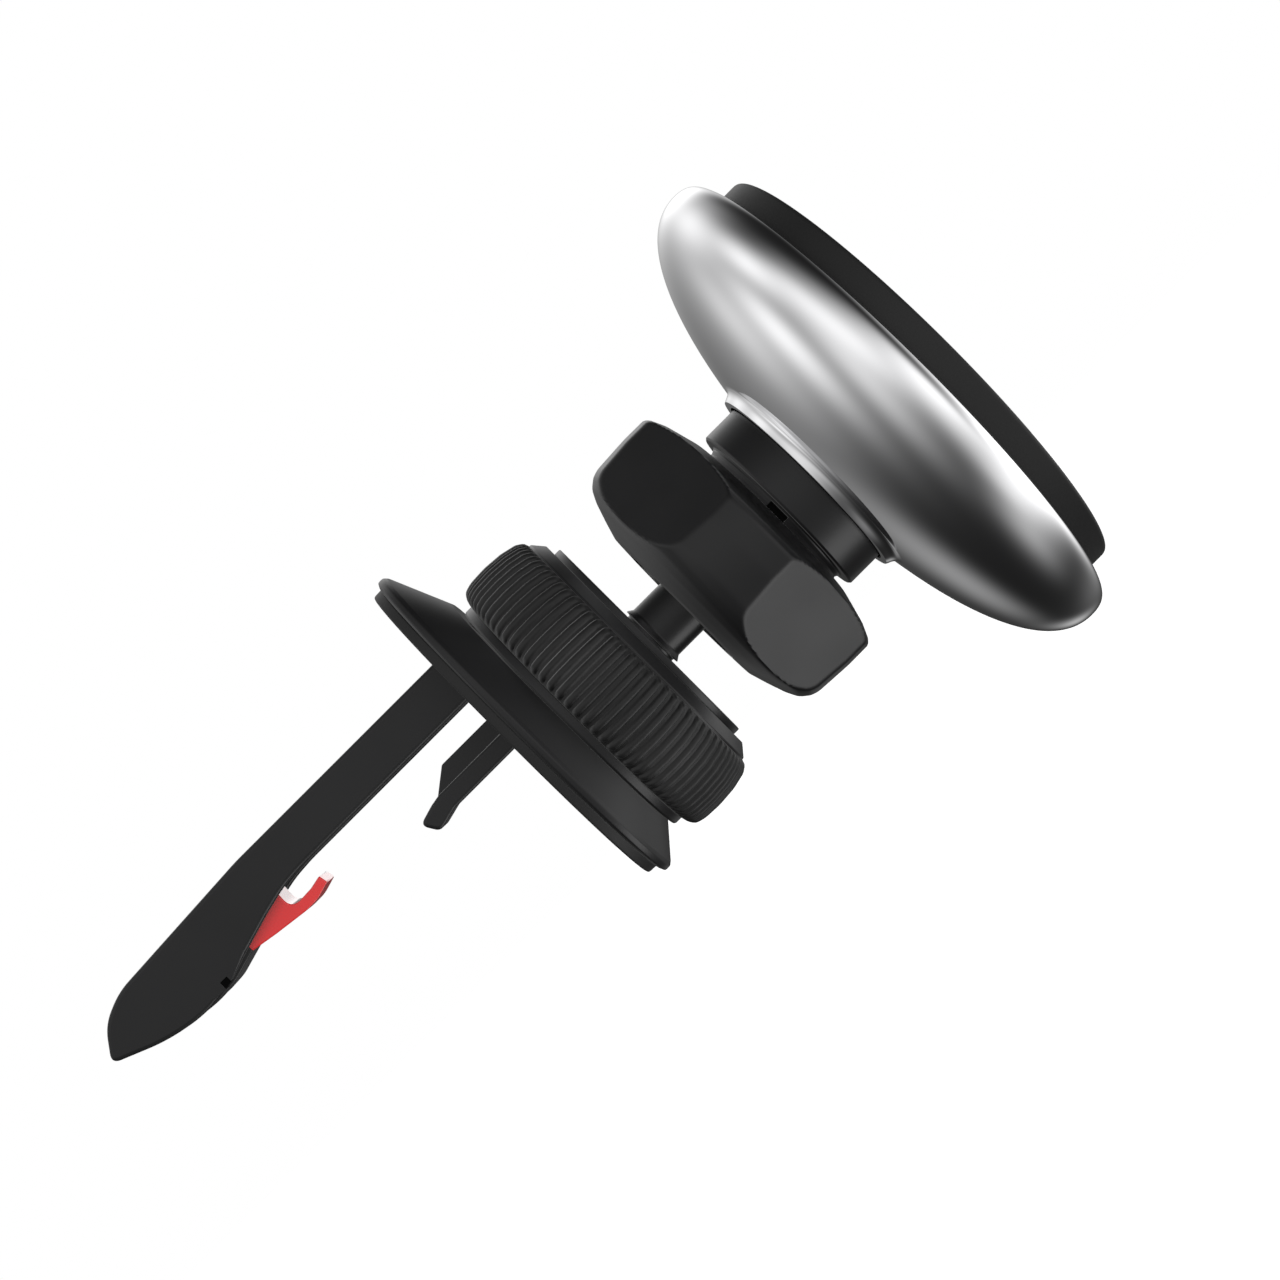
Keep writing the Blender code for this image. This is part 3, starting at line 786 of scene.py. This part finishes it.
@dataclass
class HookArm(SubAssembly):
    """Arm of three layers that slides through the plate, with its red hook.

    Its outlines are (y, a, radius), and the notch is a point (y, a).
    """

    cheek_inner: float = 3.7
    cheek_outer: float = 5.3
    core_half: float = 3.62
    notch_shade_half: float = 5.2
    hook_half: float = 3.5
    cheek_bevel: float = 0.45
    notch: Corner = (6.0, -39.75)
    core: Sequence[Corner] = (
        (14.1, 0.6, 0.0), (14.1, -30.0, 30.0), (13.05, -48.5, 9.0), (11.65, -51.8, 6.0),
        (8.45, -54.2, 0.9), (6.35, -48.6, 30.0), (5.45, -44.0, 30.0), (5.28, -41.5, 9.0),
        (5.4, -39.3, 6.0), (6.45, -35.6, 0.0), (11.2, -35.6, 0.0), (11.2, -29.1, 0.0),
        (9.4, -29.1, 0.0), (9.4, 0.6, 0.0),
    )
    cheek: Sequence[Corner] = (
        (14.4, 0.9, 0.0), (14.4, -30.0, 30.0), (13.35, -48.6, 9.0), (11.9, -52.05, 6.0),
        (8.5, -54.55, 0.9), (6.05, -48.6, 30.0), (5.2, -44.0, 30.0), (5.5, -40.25, 0.05),
        (6.45, -40.25, 0.0), (6.45, -39.25, 0.0), (5.76, -39.25, 0.05), (6.93, -35.7, 15.0),
        (8.1, -31.7, 15.0), (8.9, -28.4, 20.0), (9.1, -25.5, 20.0), (9.1, 0.9, 0.0),
    )
    # outline of the near-black block that paints the shade in the notch
    notch_shade_block: Sequence[Corner] = (
        (5.5, -40.25, 0.03), (6.45, -40.25, 0.03), (6.45, -39.25, 0.03), (5.76, -39.25, 0.03),
    )
    claw: Sequence[Corner] = (
        (10.9, -29.35, 0.0), (6.62, -29.6, 1.3), (6.75, -26.6, 1.5), (7.08, -25.05, 0.2),
        (6.02, -24.85, 0.2), (5.42, -26.9, 4.0), (5.4, -28.6, 6.0), (5.92, -32.6, 14.0),
        (6.45, -35.8, 0.3), (10.9, -36.1, 0.0),
    )

    def build(self) -> None:
        """Makes the core, the two cheeks, a near-black block in the notch between them as painted
        shade, and the hook.
        """
        core_outline = softened(self.core, steps=14)
        core = plate("arm_core_skin", core_outline, -self.core_half, self.core_half, 0.25)
        self.add(core, SATIN_BLACK, "arm", "arm_core")
        outline = softened(self.cheek, steps=14)
        sides = (
            ("front_cheek", -self.cheek_outer, -self.cheek_inner),
            ("rear_cheek", self.cheek_inner, self.cheek_outer),
        )
        for node, low, high in sides:
            cheek = plate(node + "_skin", outline, low, high, self.cheek_bevel, self.notch)
            self.add(cheek, SATIN_BLACK, "arm", node)
        # painted shade: a near-black block fills the notch so that it reads as a dark recess
        notch_shade_outline = softened(self.notch_shade_block, steps=2)
        notch_shade = plate("notch_shade_block_skin", notch_shade_outline, -self.notch_shade_half, self.notch_shade_half, 0.02, steps=2)
        self.add(notch_shade, PAINTED_SHADE_BLACK, "arm", "arm_core")
        claw_outline = softened(self.claw, steps=10)
        claw = plate("hook_skin", claw_outline, -self.hook_half, self.hook_half, 0.15)
        self.add(claw, GLOSS_RED, "arm", "hook")


@dataclass
class BallSocket(SubAssembly):
    """Slotted socket round the ball, the nut that closes it, liner and ring.

    Its outlines are (r, a, radius).
    """

    nut_bore: Sequence[Corner] = ((7.9, 24.3), (10.0, 24.3))
    barrel: Sequence[Corner] = (
        (10.0, 36.2, 0.0), (11.8, 36.05, 0.5), (15.2, 35.1, 2.0), (16.7, 34.4, 0.8),
        (17.13, 33.95, 0.3), (17.15, 31.0, 12.0), (16.9, 26.7, 3.0), (16.6, 25.8, 1.0),
        (15.8, 24.8, 2.0), (14.4, 24.1, 3.0), (12.3, 23.4, 3.0), (10.3, 22.8, 1.0),
        (7.9, 22.7, 0.0),
    )
    collar: Sequence[Corner] = (
        (2.0, 46.6, 0.1), (16.5, 46.6, 0.2), (16.5, 45.2, 0.2), (11.0, 45.2, 0.2),
        (11.0, 41.7, 0.0), (11.08, 41.55, 0.1), (11.08, 37.5, 0.15), (10.85, 37.28, 0.1),
        (9.75, 37.28, 0.1), (9.6, 37.1, 0.0),
    )
    ring: Sequence[Corner] = (
        (8.6, 26.15, 0.1), (9.6, 26.15, 0.15), (9.6, 24.6, 0.15), (7.9, 24.6, 0.1), (7.9, 25.3, 0.1),
    )
    outline_step: float = 0.3
    flat_distance: float = 14.9
    flat_blend: float = 0.22
    flats: int = 4
    thread_radius: float = 9.55
    thread_depth: float = 0.16
    thread_pitch: float = 1.2
    seat_radius: float = 8.2
    liner_radii: tuple[float, float] = (7.9, 7.3)
    slot_half: float = 1.25
    slot_floor: float = 8.7
    slot_depth: tuple[float, float] = (25.0, 37.05)
    floor_start: float = 27.0
    floor_tolerance: float = 0.01

    def gripped(self, radius: np.ndarray, along: np.ndarray, turn: np.ndarray) -> np.ndarray:
        """Radius of the nut, a barrel with four flats.

        Formula: the smooth minimum of the barrel's radius and d / cos(u),
        where u is the angle from the middle of the nearest flat.

        Args:
            radius: barrel radius.
            along: height on the axis.
            turn: angle w.

        Returns:
            The radius at each height and angle.
        """
        sector = FULL_TURN / self.flats
        u = np.mod(turn, sector) - sector / 2.0
        flat = self.flat_distance / np.cos(u) + 0.0 * along
        return smooth_least(radius + 0.0 * u, flat, self.flat_blend)

    def collet_profile(self) -> np.ndarray:
        """Profile of the socket: flange, collar, thread, fingers and ball seat.

        Formula: the thread's radius is r + d (2 |2 f - 1| - 1), where f is the
        fraction of a pitch, and the seat is r = sqrt(s^2 - (a - c)^2).

        Returns:
            A closed loop of points (r, a).
        """
        top = softened(self.collar, closed=False)
        along = np.arange(37.0, 28.0, -0.1)
        fraction = np.mod(along / self.thread_pitch, 1.0)
        radius = self.thread_radius + self.thread_depth * (2.0 * np.abs(2.0 * fraction - 1.0) - 1.0)
        thread = np.stack([radius, along], axis=1)
        seat_height = np.linspace(26.5, BALL_CENTRE, 14)
        seat_edge = np.sqrt(self.seat_radius**2 - (seat_height - BALL_CENTRE) ** 2)
        seat = np.stack([seat_edge, seat_height], axis=1)
        fingertip = np.array([(9.6, 27.9), (8.9, 26.5)])
        chamber = np.array([(8.2, 43.6), (2.0, 43.6)])
        return np.concatenate([top, thread, fingertip, seat, chamber])

    def slots(self) -> list[bpy.types.Object]:
        """The four cutters that part the fingers, two on each cross axis."""
        half, near, far = self.slot_half, self.slot_floor, 14.0
        low, high = self.slot_depth
        return [
            block((-half, near, low), (half, far, high)),
            block((-half, -far, low), (half, -near, high)),
            block((near, -half, low), (far, half, high)),
            block((-far, -half, low), (-near, half, high)),
        ]

    def paint_slot_shade(self, collet: bpy.types.Object) -> None:
        """Gives the floors of the slots a deeper black as painted shade, where the slots lie in
        shadow.

        Formula: a face is a floor if its middle lies within half a slot of an
        axis and its distance from the main axis is the floor's, to a hundredth.

        Args:
            collet: the finished socket.
        """
        mesh = collet.data
        # painted shade: the slot floors take the near-black finish
        mesh.materials.append(PAINTED_SHADE_BLACK.material())
        middle = np.empty(len(mesh.polygons) * 3)
        mesh.polygons.foreach_get("center", middle)
        x, a, y = (middle.reshape(-1, 3) / MM).T
        wide = np.maximum(np.abs(x), np.abs(y))
        narrow = np.minimum(np.abs(x), np.abs(y))
        on_floor = np.abs(wide - self.slot_floor) < self.floor_tolerance
        on_floor &= (narrow < self.slot_half) & (-a > self.floor_start)
        mesh.polygons.foreach_set("material_index", on_floor.astype(np.int32))

    def build(self) -> None:
        """Makes the socket with its slots, the nut, the liner and the ring."""
        collet = lathe("socket_collet_skin", self.collet_profile(), 192, True)
        cut_away(collet, self.slots())
        self.add(collet, FINE_BLACK, "head", "socket_collet")
        self.paint_slot_shade(collet)
        barrel = resampled(softened(self.barrel, closed=False, steps=8), self.outline_step)
        profile = np.concatenate([barrel, np.array(self.nut_bore)])
        nut = lathe("lock_nut_skin", profile, 720, True, self.gripped)
        self.add(nut, FINE_BLACK, "nut", "lock_nut")
        bend = np.radians(np.linspace(18.0, 133.0, 40))[:, None]
        curve = np.concatenate([np.sin(bend), np.cos(bend)], axis=1)
        centre = np.array([0.0, BALL_CENTRE])
        outer, inner = self.liner_radii
        profile = np.concatenate([centre + outer * curve, centre + inner * curve[::-1]])
        self.add(lathe("ball_liner_skin", profile, 128, True), NYLON, "liner", "ball_liner")
        ring = lathe("pressure_ring_skin", softened(self.ring), 128, True)
        self.add(ring, BRASS, "ring", "pressure_ring")


@dataclass
class MagnetHead(SubAssembly):
    """Round head: polished shell with a flared neck lip, and the phone pad.

    Its outlines are (r, a, radius).
    """

    widest: Corner = (31.75, 53.0)
    dome_start: Corner = (13.2, 42.8)
    inside: Sequence[Corner] = (
        (28.3, 55.7, 0.0), (28.3, 54.5, 0.1), (30.3, 53.4, 1.0), (30.1, 51.3, 2.0),
        (28.0, 48.95, 3.0), (24.0, 46.75, 6.0), (18.4, 44.9, 6.0), (11.4, 44.1, 0.3),
        (11.4, 41.62, 0.0), (12.3, 41.6, 0.0),
    )
    pad_corners: Sequence[Corner] = (
        (0.0, 58.9, 0.0), (28.0, 58.9, 0.55), (28.0, 55.35, 0.25), (0.0, 55.35, 0.0),
    )

    def shell_profile(self) -> np.ndarray:
        """Profile of the polished shell, outside then inside.

        Formula: a flared lip, a cubic curve for the dome that leaves the lip
        at 9 degrees and ends upright at the widest ring, a second one that
        rolls over to the pad, and rounded straight walls inside.

        Returns:
            A closed loop of points (r, a).
        """
        lip = bezier((12.35, 41.62), (12.55, 42.25), (12.8, 42.62), (13.12, 42.74), 8)
        crease = np.array([self.dome_start])
        dome = bezier(self.dome_start, (21.43, 44.09), (31.75, 46.91), self.widest, 72)
        roll = bezier(self.widest, (31.75, 55.1), (30.9, 55.43), (28.35, 55.75), 32)
        return np.concatenate([lip, crease, dome, roll, softened(self.inside, closed=False)])

    def build(self) -> None:
        """Makes the shell and the pad."""
        shell = lathe("rear_shell_skin", self.shell_profile(), 320, True)
        self.add(shell, BLACK_CHROME, "head", "rear_shell", mirrored=True)
        pad_outline = softened(self.pad_corners, closed=False, steps=8)
        pad = lathe("face_pad_skin", pad_outline, 256, False)
        self.add(pad, PAD_RUBBER, "head", "face_pad", mirrored=True)


@dataclass
class InnerParts(SubAssembly):
    """CAD nodes that keep their own mesh and take a finish by their slot."""

    finishes: Sequence[Finish] = (
        SATIN_BLACK, PAD_RUBBER, BLACK_CHROME, GLOSS_RED, NYLON, BRASS, NICKEL, ZINC_STEEL,
    )

    def dress(self) -> None:
        """Gives each node the material of the record's slot for it."""
        by_slot = {finish.slot: finish for finish in self.finishes}
        for part in frame["record"]["subparts"]:
            node = frame["nodes"][part["node"]]
            node.visible_glossy = False
            material = by_slot[part["material_slot"]].material()
            if not node.material_slots:
                node.data.materials.append(material)
            for material_slot in node.material_slots:
                material_slot.material = material


# --------------------------------------------------------------------------
# Studio
# --------------------------------------------------------------------------


@dataclass(frozen=True)
class SoftBox:
    """One soft source of the studio light.

    It sits `around` degrees round the main axis from the -X side, `along`
    degrees towards the phone side, and `spread` sets how tight its edge is.
    """

    around: float
    along: float
    strength: float
    spread: float

    def direction(self) -> tuple[float, float, float]:
        """Unit vector towards the source, in the frame's axes."""
        w, v = math.radians(self.around), math.radians(self.along)
        return (-math.cos(v) * math.cos(w), -math.sin(v), -math.cos(v) * math.sin(w))


@dataclass(frozen=True)
class Lamp:
    """A square area lamp aimed at the mount, for all of its pieces or a few."""

    name: str
    location: tuple[float, float, float]
    size: float
    power: float
    diffuse_only: bool = False
    only: Sequence[str] = ()
    spared: Sequence[str] = ()

    def build(self) -> None:
        """Makes the lamp and links it to the pieces that it lights."""
        data = bpy.data.lights.new(self.name, "AREA")
        data.size, data.energy = self.size, self.power
        lamp = bpy.data.objects.new(self.name, data)
        bpy.context.scene.collection.objects.link(lamp)
        lamp.location = self.location
        aim = Vector(LAMP_TARGET) - lamp.location
        lamp.rotation_euler = aim.to_track_quat("-Z", "Y").to_euler()
        lamp.visible_camera = False
        lamp.visible_glossy = not self.diffuse_only
        if self.only or self.spared:
            lit = bpy.data.collections.new(self.name + "_lit")
            for piece in bpy.context.scene.objects:
                wanted = not self.only or piece.name in self.only
                if piece.type == "MESH" and wanted and piece.name not in self.spared:
                    lit.objects.link(piece)
            lamp.light_linking.receiver_collection = lit


@dataclass
class Studio:
    """Pale floor, soft light from all round and the camera."""

    level: float = 1.25
    glow: float = 0.015
    floor_height: float = -0.3
    floor_half: float = 6.0
    boxes: Sequence[SoftBox] = (
        SoftBox(-155.0, 8.0, 1.2, 28.0),
        SoftBox(-130.0, -14.0, 0.88, 13.0),
        SoftBox(-90.0, -28.0, 0.75, 18.0),
        SoftBox(-58.0, -18.0, 0.4, 14.0),
        SoftBox(-24.0, -10.0, 0.67, 8.0),
        SoftBox(-35.0, -42.0, 0.35, 6.0),
        SoftBox(8.0, 29.0, 0.9, 9.0),
        SoftBox(66.0, 28.0, 0.8, 14.0),
        SoftBox(32.0, 14.0, 0.2, 6.0),
        SoftBox(58.0, 5.0, 0.3, 20.0),
        SoftBox(80.0, 55.0, 1.5, 16.0),
        SoftBox(135.0, 60.0, 1.4, 18.0),
        SoftBox(162.0, 45.0, 0.9, 30.0),
        SoftBox(-130.0, -62.0, 0.88, 20.0),
        SoftBox(-15.0, -60.0, 0.3, 10.0),
        SoftBox(78.0, -15.0, 0.3, 14.0),
        SoftBox(-160.0, -40.0, 0.42, 45.0),
        SoftBox(-168.0, -24.0, 0.12, 30.0),
        SoftBox(168.0, -23.0, 0.22, 70.0),
        SoftBox(157.0, -1.0, 0.35, 150.0),
        SoftBox(138.0, 22.0, 0.12, 15.0),
    )
    camera_place: tuple[float, float, float] = (-0.2943, -0.0170, 0.00066)
    camera_lens: float = 76.64
    lamps: Sequence[Lamp] = (
        Lamp("fill", (-0.6, -0.25, 0.25), 0.5, 3.0, diffuse_only=True),
        Lamp("side", (-0.10, -0.03, -0.60), 0.35, 1.15, spared=("rear_shell_skin", "face_pad_skin")),
        Lamp("edge", (0.80, -0.15, 0.0), 0.4, 0.7, only=("hook_skin",)),
    )

    def light(self) -> None:
        """Makes the world: white behind the object, soft boxes in reflections.

        Formula: light from direction v is the level times the sum over boxes
        of strength * exp(spread * (v . d - 1)), plus a faint even glow.
        """
        world = bpy.data.worlds.new("studio")
        world.use_nodes = True
        bpy.context.scene.world = world
        tree = world.node_tree
        background = tree.nodes["Background"]
        places = add_node(tree, "ShaderNodeTexCoord")
        total = None
        for box in self.boxes:
            dot = add_node(tree, "ShaderNodeVectorMath", operation="DOT_PRODUCT")
            dot.inputs[1].default_value = box.direction()
            tree.links.new(places.outputs["Generated"], dot.inputs[0])
            power = self._multiply_add(tree, dot.outputs["Value"], box.spread, -box.spread)
            fall = add_node(tree, "ShaderNodeMath", operation="EXPONENT")
            tree.links.new(power.outputs[0], fall.inputs[0])
            joined = self._multiply_add(tree, fall.outputs[0], box.strength * self.level, self.glow)
            if total is not None:
                tree.links.new(total.outputs[0], joined.inputs[2])
            total = joined
        path = add_node(tree, "ShaderNodeLightPath")
        choose = add_node(tree, "ShaderNodeMix", {3: 1.0}, data_type="FLOAT")
        tree.links.new(path.outputs["Is Camera Ray"], choose.inputs["Factor"])
        tree.links.new(total.outputs[0], choose.inputs[2])
        tree.links.new(choose.outputs[0], background.inputs["Color"])

    @staticmethod
    def _multiply_add(
        tree: bpy.types.NodeTree, value: bpy.types.NodeSocket, factor: float, addend: float
    ) -> bpy.types.Node:
        """A node for value * factor + addend, with the value linked in."""
        node = add_node(tree, "ShaderNodeMath", {1: factor, 2: addend}, operation="MULTIPLY_ADD")
        tree.links.new(value, node.inputs[0])
        return node

    def floor(self) -> None:
        """Makes a wide pale floor well under the object, seen only by the camera from above."""
        half, height = self.floor_half, self.floor_height
        corners = [(x * half, y * half, height) for x, y in ((-1, -1), (1, -1), (1, 1), (-1, 1))]
        mesh = bpy.data.meshes.new("floor")
        mesh.from_pydata(corners, [], [[0, 1, 2, 3]])
        floor = bpy.data.objects.new("floor", mesh)
        bpy.context.scene.collection.objects.link(floor)
        material = bpy.data.materials.new("pale_floor")
        material.use_nodes = True
        tree = material.node_tree
        shader = tree.nodes["Principled BSDF"]
        shader.inputs["Base Color"].default_value = (0.95, 0.95, 0.95, 1.0)
        shader.inputs["Roughness"].default_value = 0.9
        shader.inputs["Emission Color"].default_value = (1.0, 1.0, 1.0, 1.0)
        shader.inputs["Emission Strength"].default_value = 0.6
        clear = add_node(tree, "ShaderNodeBsdfTransparent")
        side = add_node(tree, "ShaderNodeNewGeometry")
        mix = add_node(tree, "ShaderNodeMixShader")
        tree.links.new(side.outputs["Backfacing"], mix.inputs["Fac"])
        tree.links.new(shader.outputs["BSDF"], mix.inputs[1])
        tree.links.new(clear.outputs["BSDF"], mix.inputs[2])
        tree.links.new(mix.outputs["Shader"], tree.nodes["Material Output"].inputs["Surface"])
        mesh.materials.append(material)
        floor.visible_glossy = floor.visible_diffuse = floor.visible_shadow = False

    def camera(self) -> None:
        """Makes the camera: level with the mount, looking along +X, rolled by 45 degrees."""
        data = bpy.data.cameras.new("camera")
        data.lens, data.sensor_width = self.camera_lens, 36.0
        data.clip_start, data.clip_end = 0.01, 30.0
        camera = bpy.data.objects.new("camera", data)
        bpy.context.scene.collection.objects.link(camera)
        camera.location = self.camera_place
        camera.rotation_euler = camera_turn()
        bpy.context.scene.camera = camera

    def build(self) -> None:
        """Sets the light, the floor, the camera and a neutral picture tone."""
        self.light()
        for lamp in self.lamps:
            lamp.build()
        self.floor()
        self.camera()
        bpy.context.scene.view_settings.view_transform = "Standard"


def camera_turn() -> Euler:
    """Rotation whose axes are right (0, -1, -1), up (0, -1, 1) and back (-1, 0, 0)."""
    half = math.sqrt(0.5)
    return Matrix(((0.0, 0.0, -1.0), (-half, -half, 0.0), (-half, half, 0.0))).to_euler()


def main() -> None:
    """Builds every sub-assembly in order, then the studio."""
    logging.basicConfig(level=logging.INFO, format="%(name)s: %(message)s")
    InnerParts().dress()
    for part in (VentBase(), BallStem(), TurnDial(), HookArm(), BallSocket(), MagnetHead()):
        part.build()
        log.info("%s: %d pieces", type(part).__name__, len(part.pieces))
    Studio().build()


if __name__ == "__main__":
    main()
